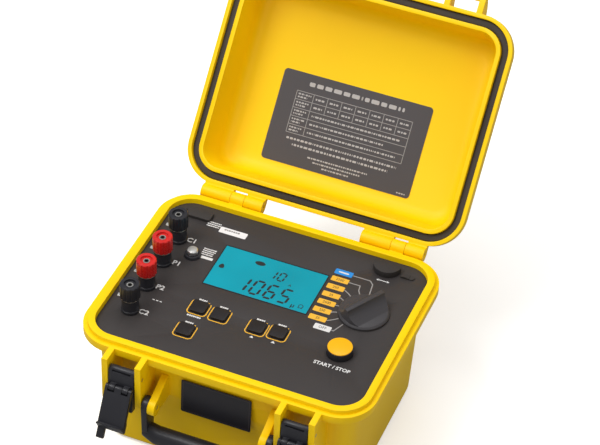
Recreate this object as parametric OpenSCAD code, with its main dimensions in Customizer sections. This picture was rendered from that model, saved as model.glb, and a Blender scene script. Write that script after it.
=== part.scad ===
// Portable four-terminal resistance tester in a sealed field case with its lid open.
// X runs to the right, Y to the hinges, Z up; the origin is the centre of the case on the floor.

/* [Case] */
// Width over the flange
case_w = 270; // [250:1:300]
// Depth over the flange
case_d = 213; // [195:1:240]
// Height of the base up to its flange face
base_h = 130; // [120:1:150]
// Corner radius of the flange
flange_r = 33; // [28:1:40]
// Thickness of the base flange
flange_t = 7.5; // [6:0.5:10]
// Inset of the wall under the flange
wall_inset = 13.5; // [12:0.5:16]
// Extra inset of the wall at the floor, from the moulding draft
draft = 5.2; // [3:0.1:8]
// Wall and floor thickness
wall = 3.5; // [2.5:0.1:4.5]
// Rounding of the bottom edge
foot_round = 6; // [3:0.5:9]
// Height of the raised seal tongue
tongue_h = 4.2; // [3:0.1:5]
// Inset of the seal tongue
tongue_in = 4.2; // [3.8:0.1:5]
// Width of the seal tongue
tongue_w = 6.3; // [5:0.1:7]

/* [Lid] */
// Height of the closed lid above the base flange
lid_h = 50; // [46:1:60]
// Thickness of the lid flange
lid_flange_t = 10.5; // [9:0.5:13]
// Depth of the seal groove
groove_d = 8; // [7:0.1:8.5]
// Width of the lid's inner lip
lip_w = 4; // [3:0.1:5]
// Gap between the closed flanges
seam = 0.3; // [0.2:0.05:0.5]
// Rounding of the lid's top edge
lid_round = 8; // [5:0.5:12]
// Thickness of the lid's roof
roof_t = 4; // [3:0.5:5]
// Angle at which the lid stands open
lid_open = 131.2; // [100:0.1:135]

/* [Hinges] */
// Radius of the hinge barrels
barrel_r = 6.5; // [5.5:0.1:7]
// Radius of the hinge pins
hinge_pin_r = 2; // [1.5:0.1:2.5]
// Space between barrel and flange edge
barrel_gap = 1.3; // [1:0.1:2]
// Left end of each base knuckle
knuckle_x = [-79.5, 77.2];
// Length of each base knuckle
knuckle_w = 13; // [10:0.5:15]
// Length of each lid arm, left of its knuckle
arm_w = 29; // [24:0.5:30]
// Length of each lid knuckle, right of the base knuckle
ear_w = 18; // [14:0.5:20]

/* [Latches] */
// Distance of each latch from the middle
latch_x = 79.8; // [76:0.1:82]
// Spacing of the two fins of a latch
fin_pitch = 31; // [30:0.1:34]
// Thickness of a fin
fin_t = 5.5; // [4:0.1:6]
// Reach of the fins in front of the flange
fin_out = 15; // [13.5:0.5:18]
// Height of the fins
fin_h = 55; // [50:1:60]
// Radius of the upper latch pin
latch_pin_r = 1.8; // [1.5:0.1:2.2]
// Width of the slotted link
link_w = 23.6; // [22:0.1:24]
// Length of the link below its pin
link_h = 36; // [32:1:38]
// Thickness of the link
link_t = 7; // [6:0.5:8]
// Outward swing of the link at rest
link_out = 8.4; // [6:0.1:10]
// Width of the hook lever
lever_w = 24.2; // [23:0.1:24.6]
// Thickness of the lever plate
lever_t = 5; // [4:0.1:5]
// Angle of the lever below the horizontal at rest
lever_drop = 60; // [50:1:70]
// Radius of the lever pin
lever_pin_r = 1.5; // [1.2:0.1:1.8]
// Radius of the catch bar on the lid
catch_r = 1.8; // [1.5:0.1:2]

/* [Handle] */
// Distance of each handle lug from the middle
lug_x = 51.5; // [48:0.1:53]
// Thickness of a lug
lug_t = 6.5; // [5:0.1:7]
// Thickness of a handle arm
arm_t = 5.2; // [4:0.1:5.4]
// Radius of the handle pins
handle_pin_r = 2.5; // [2:0.1:3]
// Drop from the handle's pins to its grip
handle_drop = 34; // [30:1:38]
// Radius of the grip
grip_r = 8.5; // [7:0.5:9]

/* [Panel] */
// Thickness of the front panel
panel_t = 3; // [2.5:0.1:3.5]
// Depth of the panel face below the flange face
panel_sink = 1; // [0.5:0.1:1.5]
// Gap round the panel and the fixed pieces let into it
seat_gap = 0.3; // [0.2:0.05:0.4]
// Size of the display window
window = [98.5, 54];

/* [Controls] */
// Radius of the selector knob
knob_r = 22.5; // [20:0.5:23]
// Height of the selector knob's wing
knob_h = 13; // [10:0.5:16]
// Distance of the selector from the case's side
knob_in = 49.2; // [47:0.1:60]
// Angle of the pointer at rest
knob_turn = 240; // [0:20:360]
// Radius of the start button
start_r = 11.35; // [10:0.05:12]
// Height of the start button above the panel
start_h = 7.6; // [6:0.1:9]
// Distance of the start button from the case's side
start_in = 50.4; // [40:0.1:60]
// Side of a key cap
key_w = 14.4; // [12:0.1:15]
// Height of a key cap above the panel
key_h = 2.6; // [2:0.1:3]
// Travel of the keys and the start button
press = 1; // [0.6:0.1:1.2]

/* [Terminals] */
// Distance of the terminals from the case's side
post_in = 33.5; // [31:0.1:36]
// Distance of the rearmost terminal from the case's rear
post_back = 62; // [60:0.5:66]
// Spacing of the terminals
post_pitch = 33.5; // [30:0.1:34]
// Radius of a terminal cap
cap_r = 9; // [8:0.1:9.5]
// Height of a terminal cap
cap_h = 14.7; // [12:0.1:16]
// Height of the dark collar under a cap
collar_h = 14.8; // [12:0.1:16]
// Radius of the dark collar
collar_r = 7.6; // [7:0.1:8]
// Radius of a metal post
post_r = 3; // [2.8:0.1:3.5]
// Radius of the plug socket in a post
socket_r = 2; // [1.9:0.05:2.1]

/* [Hidden] */
$fn = 48;
yellow = [1.0, 0.83, 0.0];
dark = [0.13, 0.13, 0.15];
// Overrun that lets one cut pass clean through a face
over = 1;
// Running clearance of the pivots, on the radius
run_gap = 0.06;
// Clearance between moving faces
side_gap = 0.3;
// Clearance of pins fixed in their bores, on the radius
fix_gap = 0.02;

half_w = case_w / 2;
half_d = case_d / 2;
wall_r = flange_r - wall_inset;
// Places on the panel, as shares of half its width and half its depth
window_shares = [-0.068148, 0.259155];
knob_y_share = 0.208451;
start_y_share = -0.296714;
fuse_y_share = 0.282629;
key_shares = [[-0.354815, -0.283568], [-0.204444, -0.294836], [-0.352593, -0.569014], [0.058519, -0.306103],
    [0.202963, -0.292958]];
function spot(share) = [share[0] * half_w, share[1] * half_d];
window_at = spot(window_shares);
knob_at = [half_w - knob_in, knob_y_share * half_d];
start_at = [half_w - start_in, start_y_share * half_d];
post_x = post_in - half_w;
post_y = half_d - post_back;
top_z = base_h;
open_in = tongue_in + tongue_w;
face_z = top_z - panel_sink;
under_z = face_z - panel_t;
hinge_y = half_d + barrel_gap + barrel_r;
cavity_z = wall;
cavity_r = wall_r - wall;

// Flat rounded rectangle, inset from the outline of the flange
module outline(inset, r) {
    w = case_w - 2 * inset;
    d = case_d - 2 * inset;
    square([w - 2 * r, d], center = true);
    square([w, d - 2 * r], center = true);
    for (sx = [-1, 1], sy = [-1, 1])
        translate([sx * (w / 2 - r), sy * (d / 2 - r)])
            circle(r = r);
}

module slab(inset, r, z0, z1)
    translate([0, 0, z0])
        linear_extrude(z1 - z0)
            outline(inset, r);

// Rounded block of any size, standing on z0
module pad(size, r, h)
    linear_extrude(h) {
        square([size[0] - 2 * r, size[1]], center = true);
        square([size[0], size[1] - 2 * r], center = true);
        for (sx = [-1, 1], sy = [-1, 1])
            translate([sx * (size[0] / 2 - r), sy * (size[1] / 2 - r)])
                circle(r = r);
    }

// One thin corner disc set for the drafted shells
disc_t = 0.2;
module corner_discs(inset, r, z)
    for (sx = [-1, 1], sy = [-1, 1])
        translate([sx * (half_w - inset - r), sy * (half_d - inset - r), z])
            cylinder(r = r, h = disc_t, $fn = 32);

// Steps of the rounded bottom edge: share of the radius in height and inset
round_shares = [[0, 1], [0.08, 0.6], [0.3, 0.29], [0.62, 0.08], [1, 0]];

module drafted(grow, r_top, z0, z1, edge) {
    lean = draft / (base_h - flange_t);
    hull() {
        for (s = round_shares)
            let (z = z0 + s[0] * edge, inset = wall_inset + grow + lean * (base_h - flange_t - z))
                corner_discs(inset + s[1] * edge, r_top - s[1] * edge / 2, z);
        corner_discs(wall_inset + grow, r_top, z1 - disc_t);
    }
}

// Plate standing in the YZ plane, given as an outline of [y, z] points
module side_plate(x0, x1, points)
    translate([x0, 0, 0])
        rotate([90, 0, 90])
            linear_extrude(x1 - x0)
                polygon(points);

module x_rod(x0, x1, r, y, z)
    translate([x0, y, z])
        rotate([0, 90, 0])
            cylinder(r = r, h = x1 - x0);

fin_x = [for (s = [-1, 1], t = [-1, 1]) s * latch_x + t * fin_pitch / 2];
fin_y = -half_d - fin_out;
wall_y = -half_d + wall_inset;
fin_chamfer = 9;
fin_foot = 12;
latch_pin_y = -half_d - 11.1;
latch_pin_drop = 15;
latch_pin_z = base_h - latch_pin_drop;
lug_slope_z = 27;
lug_root = 16;
lug_round = 8;
handle_out = 10;
handle_down = 44;
handle_y = -half_d - handle_out;
handle_z = base_h - handle_down;
lug_neck_shares = [0.55, 0.75];
column_in = [90, 30.5];
column_at = [half_w - column_in[0], half_d - column_in[1]];
column_r = 5.5;
screw_r = 2;
screw_gap = 0.2;
head_r = 4;
head_h = 4;
head_sink = 0.6;

module hinge_block(x0, x1, z0, z1) {
    translate([x0, half_d - wall_inset / 2, z0])
        cube([x1 - x0, hinge_y - half_d + wall_inset / 2, z1 - z0]);
    x_rod(x0, x1, barrel_r, hinge_y, base_h);
}

// Handle lug: a slanting ear with a round end at the pin
module lug(x)
    translate([x - lug_t / 2, 0, 0])
        rotate([90, 0, 90])
            linear_extrude(lug_t) {
                translate([handle_y, handle_z])
                    circle(r = lug_round);
                polygon([[handle_y - lug_round * lug_neck_shares[0], handle_z + lug_round * lug_neck_shares[1]],
                    [wall_y, base_h - lug_slope_z],
                    [wall_y + draft, handle_z - lug_root / 2],
                    [handle_y + lug_round * lug_neck_shares[0], handle_z - lug_round * lug_neck_shares[1]]]);
            }

foot_in = [45, 44.5];
foot_at = [half_w - foot_in[0], half_d - foot_in[1]];
foot_r = 8;
foot_seat = 1.5;
floor_z = 0;

module base_shell() color(yellow) {
    difference() {
        union() {
            drafted(0, wall_r, floor_z, base_h - flange_t + over, foot_round);
            slab(0, flange_r, base_h - flange_t, base_h);
            slab(tongue_in, flange_r - tongue_in, base_h - over, base_h + tongue_h);
            for (x = fin_x)
                side_plate(x - fin_t / 2, x + fin_t / 2, [[fin_y, base_h], [wall_y + draft, base_h],
                    [wall_y + draft, base_h - fin_h - fin_foot], [fin_y + fin_chamfer, base_h - fin_h],
                    [fin_y, base_h - fin_h + fin_chamfer]]);
            for (s = [-1, 1])
                lug(s * lug_x);
            for (x = knuckle_x)
                hinge_block(x, x + knuckle_w, base_h - barrel_r, base_h);
        }
        // panel seat and the space under it
        slab(open_in, flange_r - open_in, under_z, base_h + tongue_h + over);
        drafted(wall, cavity_r, floor_z + cavity_z, under_z + over, foot_round / 2);
        for (x = fin_x)
            x_rod(x - fin_t, x + fin_t, latch_pin_r + fix_gap, latch_pin_y, latch_pin_z);
        for (s = [-1, 1])
            x_rod(s * lug_x - lug_t, s * lug_x + lug_t, handle_pin_r + fix_gap, handle_y, handle_z);
        for (x = knuckle_x)
            x_rod(x - over, x + knuckle_w + over, hinge_pin_r + fix_gap, hinge_y, base_h);
        for (sx = [-1, 1], sy = [-1, 1]) {
            translate([sx * column_at[0], sy * column_at[1], 0]) {
                cylinder(r = head_r + screw_gap, h = floor_z + head_sink + head_h);
                cylinder(r = screw_r + screw_gap, h = base_h);
            }
            translate([sx * foot_at[0], sy * foot_at[1], 0])
                cylinder(r = foot_r + fix_gap, h = floor_z + foot_seat);
        }
    }
    for (sx = [-1, 1], sy = [-1, 1])
        translate([sx * column_at[0], sy * column_at[1], floor_z + head_sink + head_h + over])
            difference() {
                cylinder(r = column_r, h = under_z - floor_z - head_sink - head_h - over);
                translate([0, 0, -over])
                    cylinder(r = screw_r + screw_gap, h = base_h);
            }
    for (sx = [-1, 1], sy = [-1, 1])
        translate([sx * column_at[0], sy * column_at[1], floor_z + wall / 2])
            difference() {
                cylinder(r = head_r + wall, h = head_sink + head_h + wall);
                translate([0, 0, -wall])
                    cylinder(r = head_r + screw_gap, h = head_sink + head_h + wall / 2);
                translate([0, 0, -over])
                    cylinder(r = screw_r + screw_gap, h = base_h);
            }
}

// Everything on the lid is drawn closed and then swung open about the hinge
module opened()
    translate([0, hinge_y, base_h])
        rotate([-lid_open, 0, 0])
            translate([0, -hinge_y, -base_h])
                children();

lid_z = base_h + seam;
lid_top = base_h + lid_h;
lid_face = base_h + lid_flange_t;
lid_wall_in = 12;
lid_draft = 3.5;
groove_gap = 0.4;
groove_in = tongue_in - groove_gap;
groove_out = open_in + groove_gap;
lid_in = groove_out + lip_w;
lid_cavity_r = 18;
roof_round = 13;
catch_y = -half_d - 12.1;
catch_up = 3;
lid_fin_y = catch_y - catch_r - 1.4 * catch_r;
lid_fin_top = 16;

module lid_shell() color(yellow) opened()
    difference() {
        union() {
            slab(0, flange_r, lid_z, lid_face);
            hull() {
                for (s = round_shares)
                    corner_discs(lid_wall_in + lid_draft + s[1] * lid_round, flange_r - lid_wall_in - s[1] * lid_round / 2,
                        lid_top - disc_t - s[0] * lid_round);
                corner_discs(lid_wall_in, flange_r - lid_wall_in, lid_face - over);
            }
            for (x = fin_x)
                side_plate(x - fin_t / 2, x + fin_t / 2, [[lid_fin_y, lid_z], [-half_d + lid_wall_in + lid_draft, lid_z],
                    [-half_d + lid_wall_in + lid_draft, lid_z + lid_fin_top + fin_foot],
                    [lid_fin_y + fin_chamfer, lid_z + lid_fin_top], [lid_fin_y, lid_z + lid_fin_top - fin_chamfer]]);
            for (s = [-1, 1])
                x_rod(s * latch_x - fin_pitch / 2, s * latch_x + fin_pitch / 2, catch_r, catch_y, base_h + catch_up);
            for (x = knuckle_x) {
                hinge_block(x - side_gap - arm_w, x - side_gap, lid_z, base_h + barrel_r);
                hinge_block(x + knuckle_w + side_gap, x + knuckle_w + side_gap + ear_w, lid_z, base_h + barrel_r);
            }
        }
        // seal groove
        difference() {
            slab(groove_in, flange_r - groove_in, lid_z - over, lid_z + groove_d);
            slab(groove_out, flange_r - groove_out, lid_z - 2 * over, lid_z + groove_d + over);
        }
        hull() {
            for (s = round_shares)
                corner_discs(lid_in + lid_draft + s[1] * roof_round, lid_cavity_r - s[1] * roof_round / 2,
                    lid_top - roof_t - disc_t - s[0] * roof_round);
            corner_discs(lid_in, lid_cavity_r, lid_z - over);
        }
        for (x = knuckle_x)
            x_rod(x - arm_w - over, x + knuckle_w + ear_w + over, hinge_pin_r + run_gap, hinge_y, base_h);
    }

gasket_side = 0.2;
gasket_t = groove_d - tongue_h - seam;
module lid_gasket() color(dark) opened()
    difference() {
        slab(groove_in + gasket_side, flange_r - groove_in, lid_z + groove_d - gasket_t, lid_z + groove_d);
        slab(groove_out - gasket_side, flange_r - groove_out, lid_z, lid_z + groove_d + over);
    }

pin_short = 2;
module hinge_pins() color("silver")
    for (x = knuckle_x)
        x_rod(x - arm_w + pin_short, x + knuckle_w + ear_w - pin_short, hinge_pin_r, hinge_y, base_h);

module case_feet() color(dark)
    for (sx = [-1, 1], sy = [-1, 1])
        translate([sx * foot_at[0], sy * foot_at[1], 0])
            cylinder(r = foot_r, h = floor_z + foot_seat);

screw_in = 2;
module case_screws() color("silver")
    for (sx = [-1, 1], sy = [-1, 1])
        translate([sx * column_at[0], sy * column_at[1], floor_z + head_sink]) {
            cylinder(r = head_r, h = head_h);
            cylinder(r = screw_r, h = under_z + screw_in - floor_z - head_sink);
        }

post_ys = [for (i = [0:3]) post_y - i * post_pitch];
post_hole = 0.3;
key_at = [for (k = key_shares) spot(k)];
key_stem = 10;
key_float = 0.3;
fuse_right = 20.4;
fuse_at = [post_x + fuse_right, fuse_y_share * half_d];
fuse_ring_r = 7.85;
fuse_body_r = 6;
charge_in = [38, 25];
charge_at = [charge_in[0] - half_w, half_d - charge_in[1]];
charge_hole_r = 4;
data_in = [51, 27];
data_at = [half_w - data_in[0], half_d - data_in[1]];
data_hole = [13, 8];
window_ledge = 3;
window_t = 1.4;
standoff_r = 3.5;
board_gap = 20;
board_t = 1.6;
board_top = under_z - board_gap;
board_left = 27.5;
board_right = 19.8;
board_clear = 0.5;
board_size = [knob_at[0] - board_right - post_x - board_left, 2 * (column_at[1] - column_r - board_clear)];
board_at = [(knob_at[0] - board_right + post_x + board_left) / 2, 0];
standoff_in = 6;
shaft_r = 3;
stem_r = 3;
round_small = 2.5;

module front_panel() color([0.24, 0.22, 0.21]) {
    difference() {
        slab(open_in + seat_gap, flange_r - open_in - seat_gap, under_z, face_z);
        translate([window_at[0], window_at[1], face_z - window_t])
            pad([window[0] + seat_gap, window[1] + seat_gap], seat_gap, panel_t);
        translate([window_at[0], window_at[1], under_z - over])
            pad([window[0] - 2 * window_ledge, window[1] - 2 * window_ledge], seat_gap, panel_t);
        for (y = post_ys)
            translate([post_x, y, under_z - over])
                cylinder(r = post_r + post_hole, h = panel_t + 2 * over);
        for (k = key_at)
            translate([k[0], k[1], under_z - over])
                pad([key_stem + 2 * side_gap, key_stem + 2 * side_gap], side_gap, panel_t + 2 * over);
        translate([knob_at[0], knob_at[1], under_z - over])
            cylinder(r = shaft_r + side_gap, h = panel_t + 2 * over);
        translate([start_at[0], start_at[1], under_z - over])
            cylinder(r = start_r + side_gap, h = panel_t + 2 * over);
        translate([fuse_at[0], fuse_at[1], under_z - over])
            cylinder(r = fuse_body_r + fix_gap, h = panel_t + 2 * over);
        translate([charge_at[0], charge_at[1], under_z - over])
            cylinder(r = charge_hole_r, h = panel_t + 2 * over);
        translate([data_at[0], data_at[1], under_z - over])
            pad(data_hole, seat_gap, panel_t + 2 * over);
        for (sx = [-1, 1], sy = [-1, 1])
            translate([sx * column_at[0], sy * column_at[1], under_z - over])
                cylinder(r = screw_r + fix_gap, h = screw_in + over);
        for (s = [-1, 1])
            translate([anchor_x[s < 0 ? 0 : 1], anchor_y, under_z - over])
                cylinder(r = anchor_stem_r + fix_gap, h = panel_t + 2 * over);
    }
    for (sx = [-1, 1], sy = [-1, 1])
        translate([board_at[0] + sx * (board_size[0] / 2 - standoff_in), board_at[1] + sy * (board_size[1] / 2 - standoff_in), board_top])
            cylinder(r = standoff_r, h = board_gap + over);
}

module display_window() color([0.0, 0.62, 0.7])
    translate([window_at[0], window_at[1], face_z - window_t])
        pad(window, seat_gap, window_t);

module_h = 9;
module display_module() color([0.1, 0.35, 0.2])
    translate([window_at[0], window_at[1], under_z - module_h])
        pad(window, round_small, module_h);

part_share_at = [[-0.3, -0.3, 0.2, 0.16], [0.28, -0.28, 0.26, 0.12], [0.1, -0.36, 0.1, 0.1]];
part_h = 8;
module main_board() color([0.05, 0.35, 0.15])
    translate([board_at[0], board_at[1], board_top - board_t]) {
        pad(board_size, round_small, board_t);
        for (p = part_share_at)
            translate([p[0] * board_size[0], p[1] * board_size[1], -part_h])
                pad([p[2] * board_size[0], p[3] * board_size[1]], round_small, part_h + board_t / 2);
    }

mat_t = 2;
mat_rim = 2;
mat_margin = 0.7;
mat_low = [min([for (k = key_at) k[0]]), min([for (k = key_at) k[1]])];
mat_high = [max([for (k = key_at) k[0]]), max([for (k = key_at) k[1]])];
mat_grow = key_stem + 2 * (mat_margin + mat_rim);
mat_at = (mat_low + mat_high) / 2;
mat_size = mat_high - mat_low + [mat_grow, mat_grow];
mat_round = 0.6;
key_drop = 1.5;
module keypad_mat() color([0.3, 0.3, 0.32])
    translate([mat_at[0], mat_at[1], under_z - key_drop - mat_t - press])
        difference() {
            pad(mat_size, round_small, mat_t + key_drop + press);
            translate([0, 0, mat_t])
                pad([mat_size[0] - 2 * mat_rim, mat_size[1] - 2 * mat_rim], mat_round, mat_t + key_drop + press);
        }

cell_r = 16.5;
cell_h = 61;
cell_count = 5;
tray_w = 2;
tray_h = 24;
pack_gap = 0.4;
module battery_tray() color([0.2, 0.2, 0.22])
    translate([0, 0, floor_z + cavity_z])
        difference() {
            pad([2 * cell_r * cell_count + 2 * (tray_w + pack_gap), 2 * (cell_r + pack_gap + tray_w)], tray_w, tray_h);
            translate([0, 0, tray_w])
                pad([2 * cell_r * cell_count + 2 * pack_gap, 2 * (cell_r + pack_gap)], tray_w / 2, tray_h);
        }

cell_lap = 0.2;
module battery_pack() color([0.1, 0.3, 0.6])
    translate([0, 0, floor_z + cavity_z + tray_w])
        for (i = [0:cell_count - 1])
            translate([(i - (cell_count - 1) / 2) * (2 * cell_r - cell_lap), 0, 0])
                cylinder(r = cell_r, h = cell_h);

// Selector: a disc with a wing whose flanks are hollowed
knob_lift = 0.5;
disc_h = 3;
wing_len = 41;
wing_foot = 15;
wing_crest = 2.2;
wing_steps = 7;
shaft_in = 9;
module selector_knob() color(dark)
    translate([knob_at[0], knob_at[1], face_z + knob_lift])
        rotate([0, 0, knob_turn])
            difference() {
                union() {
                    cylinder(r = knob_r, h = disc_h / 2);
                    translate([0, 0, disc_h / 2])
                        cylinder(r1 = knob_r, r2 = knob_r - disc_h / 2, h = disc_h / 2);
                    intersection() {
                        translate([-wing_len / 2, 0, disc_h - over])
                            rotate([90, 0, 90])
                                linear_extrude(wing_len)
                                    polygon(concat(
                                        [for (i = [0:wing_steps]) let (t = i / wing_steps)
                                            [wing_crest + (wing_foot - wing_crest) * (1 - t) * (1 - t), t * knob_h]],
                                        [for (i = [wing_steps:-1:0]) let (t = i / wing_steps)
                                            [-wing_crest - (wing_foot - wing_crest) * (1 - t) * (1 - t), t * knob_h]]));
                        cylinder(r = knob_r - disc_h / 2, h = knob_h + disc_h);
                    }
                }
                translate([0, 0, -over])
                    cylinder(r = shaft_r + fix_gap, h = shaft_in + over);
            }

switch_gap = 4;
switch_h = 14;
switch_r = 13;
bush_r = 5;
module selector_shaft() color("silver")
    translate([knob_at[0], knob_at[1], under_z - switch_h])
        cylinder(r = shaft_r, h = switch_h + panel_t + knob_lift + shaft_in - over);

module rotary_switch() color([0.25, 0.25, 0.28])
    translate([knob_at[0], knob_at[1], under_z - switch_h - switch_gap])
        difference() {
            cylinder(r = switch_r, h = switch_h + switch_gap);
            translate([0, 0, switch_gap - over])
                cylinder(r = shaft_r + run_gap, h = switch_h + 2 * over);
        }

disc_lip = 0.5;
disc_up = 0.8;
skirt_in = 2;
module start_button() color(dark)
    translate([start_at[0], start_at[1], 0]) {
        translate([0, 0, face_z - skirt_in])
            cylinder(r = start_r, h = start_h + skirt_in - disc_up);
        translate([0, 0, under_z - key_drop])
            cylinder(r = stem_r, h = panel_t + key_drop);
    }

module start_disc() color([1.0, 0.72, 0.0])
    translate([start_at[0], start_at[1], face_z + start_h - disc_up])
        cylinder(r = start_r - disc_lip, h = disc_up);

pocket_h = 3;
module start_switch() color([0.25, 0.25, 0.28])
    translate([start_at[0], start_at[1], under_z - key_drop - press - side_gap - switch_h])
        difference() {
            pad([2 * start_r + 2 * wall, 2 * start_r + 2 * wall], round_small, switch_h + key_drop + press + side_gap);
            translate([0, 0, switch_h])
                cylinder(r = start_r + side_gap, h = switch_h);
        }

module key(n)
    color([0.09, 0.09, 0.1])
        translate([key_at[n][0], key_at[n][1], 0]) {
            translate([0, 0, face_z + press + key_float])
                pad([key_w, key_w], round_small, key_h - press - key_float);
            translate([0, 0, under_z - key_drop])
                pad([key_stem, key_stem], side_gap, panel_t + key_drop + press + key_float + key_h / 4);
        }
module key_1() key(0);
module key_2() key(1);
module key_3() key(2);
module key_4() key(3);
module key_5() key(4);

// Terminals: a metal post through a collar, a loose washer and a fluted cap
post_top = 1.6;
post_foot = 12;
post_red = [0.85, 0.12, 0.1];
socket_depth = 20;
washer_t = 1.2;
washer_r = 8.2;
washer_z = face_z + collar_h + 0.5 * side_gap;
cap_z = washer_z + washer_t + side_gap / 2;
flute_r = 1.1;
flute_count = 12;
cap_bevel = 0.8;
cap_well_r = 5.4;
cap_well_d = 2;
nut_r = 5.5;
nut_h = 4;

module post(n) color("silver")
    translate([post_x, post_ys[n], 0])
        difference() {
            translate([0, 0, under_z - post_foot])
                cylinder(r = post_r, h = cap_z + cap_h - post_top - under_z + post_foot);
            translate([0, 0, cap_z + cap_h - post_top - socket_depth])
                cylinder(r = socket_r, h = socket_depth + over);
        }
module post_c1() post(0);
module post_p1() post(1);
module post_p2() post(2);
module post_c2() post(3);

collar_foot_h = 3;
collar_foot_r = 8.4;
module collar(n) color(dark)
    translate([post_x, post_ys[n], face_z])
        difference() {
            union() {
                cylinder(r = collar_foot_r, h = collar_foot_h);
                cylinder(r = collar_r, h = collar_h);
            }
            translate([0, 0, -over])
                cylinder(r = post_r + fix_gap, h = collar_h + 2 * over);
        }
module collar_c1() collar(0);
module collar_p1() collar(1);
module collar_p2() collar(2);
module collar_c2() collar(3);

module washer(n) color([0.8, 0.78, 0.72])
    translate([post_x, post_ys[n], washer_z])
        difference() {
            cylinder(r = washer_r, h = washer_t);
            translate([0, 0, -over])
                cylinder(r = post_r + side_gap, h = washer_t + 2 * over);
        }
module washer_c1() washer(0);
module washer_p1() washer(1);
module washer_p2() washer(2);
module washer_c2() washer(3);

module fluted_cap(n, shade) color(shade)
    translate([post_x, post_ys[n], cap_z])
        difference() {
            union() {
                cylinder(r = cap_r, h = cap_h - cap_bevel);
                translate([0, 0, cap_h - cap_bevel])
                    cylinder(r1 = cap_r, r2 = cap_r - cap_bevel, h = cap_bevel);
            }
            for (i = [0:flute_count - 1])
                rotate([0, 0, i * 360 / flute_count])
                    translate([cap_r + flute_r / 2, 0, -over])
                        cylinder(r = flute_r, h = cap_h + 2 * over);
            translate([0, 0, cap_h - cap_well_d])
                cylinder(r = cap_well_r, h = cap_well_d + over);
            translate([0, 0, -over])
                cylinder(r = post_r + run_gap, h = cap_h + 2 * over);
        }
module cap_c1() fluted_cap(0, dark);
module cap_p1() fluted_cap(1, post_red);
module cap_p2() fluted_cap(2, post_red);
module cap_c2() fluted_cap(3, dark);

module terminal_nuts() color("silver")
    for (y = post_ys)
        translate([post_x, y, under_z - nut_h])
            difference() {
                cylinder(r = nut_r, h = nut_h, $fn = 6);
                translate([0, 0, -over])
                    cylinder(r = post_r + fix_gap, h = nut_h + 2 * over);
            }

// Fuse holder, its silvery cap and the cartridge inside
fuse_ring_h = 2.6;
fuse_body_h = 34;
fuse_bore_r = 4.3;
fuse_floor = 2;
fuse_plug_r = 4;
fuse_plug_h = 7;
fuse_cap_r = 4.9;
fuse_cap_h = 4.4;
fuse_cap_bevel = 0.8;
cartridge_r = 3.2;
cartridge_h = 20;
module fuse_holder() color(dark)
    translate([fuse_at[0], fuse_at[1], 0])
        difference() {
            union() {
                translate([0, 0, face_z])
                    cylinder(r1 = fuse_ring_r, r2 = fuse_ring_r - fuse_cap_bevel, h = fuse_ring_h);
                translate([0, 0, face_z - fuse_body_h])
                    cylinder(r = fuse_body_r, h = fuse_body_h + over);
            }
            translate([0, 0, face_z - fuse_body_h + fuse_floor])
                cylinder(r = fuse_bore_r, h = fuse_body_h + fuse_ring_h);
        }

module fuse_cap() color("silver")
    translate([fuse_at[0], fuse_at[1], face_z + fuse_ring_h + side_gap]) {
        cylinder(r = fuse_cap_r, h = fuse_cap_h - fuse_cap_bevel);
        translate([0, 0, fuse_cap_h - fuse_cap_bevel])
            cylinder(r1 = fuse_cap_r, r2 = fuse_cap_r - fuse_cap_bevel, h = fuse_cap_bevel);
        translate([0, 0, -fuse_plug_h])
            cylinder(r = fuse_plug_r, h = fuse_plug_h + over);
    }

module fuse_cartridge() color([0.85, 0.85, 0.8])
    translate([fuse_at[0], fuse_at[1], face_z - fuse_body_h + fuse_floor])
        cylinder(r = cartridge_r, h = cartridge_h);

// Sockets under their rubber covers
socket_h = 16;
charge_block = [15, 10];
charge_pin_r = 1;
module charging_socket() color(dark)
    translate([charge_at[0], charge_at[1], under_z - socket_h])
        difference() {
            pad(charge_block, round_small, socket_h);
            translate([0, 0, wall])
                difference() {
                    cylinder(r = charge_hole_r, h = socket_h);
                    translate([0, 0, -over])
                        cylinder(r = charge_pin_r, h = socket_h - 2 * wall);
                }
        }

data_block = [18, 13];
data_tongue = [7, 2];
module data_socket() color("silver")
    translate([data_at[0], data_at[1], under_z - socket_h])
        difference() {
            pad(data_block, seat_gap, socket_h);
            translate([0, 0, wall])
                difference() {
                    pad(data_hole, seat_gap, socket_h);
                    translate([0, 0, -over])
                        pad(data_tongue, seat_gap, socket_h - 2 * wall);
                }
        }

anchor_in = [18.5, 27];
anchor_x = [anchor_in[0] - half_w, half_w - anchor_in[1]];
anchor_y = charge_at[1];
anchor_r = 3;
anchor_h = 1;
anchor_stem_r = 1.8;
cover_gap = 0.3;
charge_cover = [24, 12];
charge_cover_t = 2.6;
cover_plug_h = 2.5;
cover_plug_gap = 0.5;
module cap_anchors() color(dark)
    for (x = anchor_x)
        translate([x, anchor_y, 0]) {
            translate([0, 0, under_z])
                cylinder(r = anchor_stem_r, h = panel_t + over);
            translate([0, 0, face_z])
                cylinder(r = anchor_r, h = anchor_h);
        }

module charging_cap() color(dark) {
    translate([charge_at[0], charge_at[1], face_z + cover_gap])
        pad(charge_cover, round_small, charge_cover_t);
    translate([charge_at[0], charge_at[1], face_z - cover_plug_h])
        cylinder(r = charge_hole_r - cover_plug_gap, h = cover_plug_h + cover_gap + over);
}

data_cover = [26, 14];
data_cover_t = 6;
module data_cap() color(dark) {
    translate([data_at[0], data_at[1], face_z + cover_gap])
        intersection() {
            pad([data_cover[0], data_cover[1]], round_small, data_cover_t);
            translate([0, data_cover[0] / 2 - data_cover[1] / 2, 0])
                cylinder(r = data_cover[0] / 2, h = data_cover_t);
        }
    translate([data_at[0], data_at[1], face_z - cover_plug_h])
        pad([data_hole[0] - 2 * cover_plug_gap, data_hole[1] - 2 * cover_plug_gap], seat_gap, cover_plug_h + cover_gap + over);
}

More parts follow.
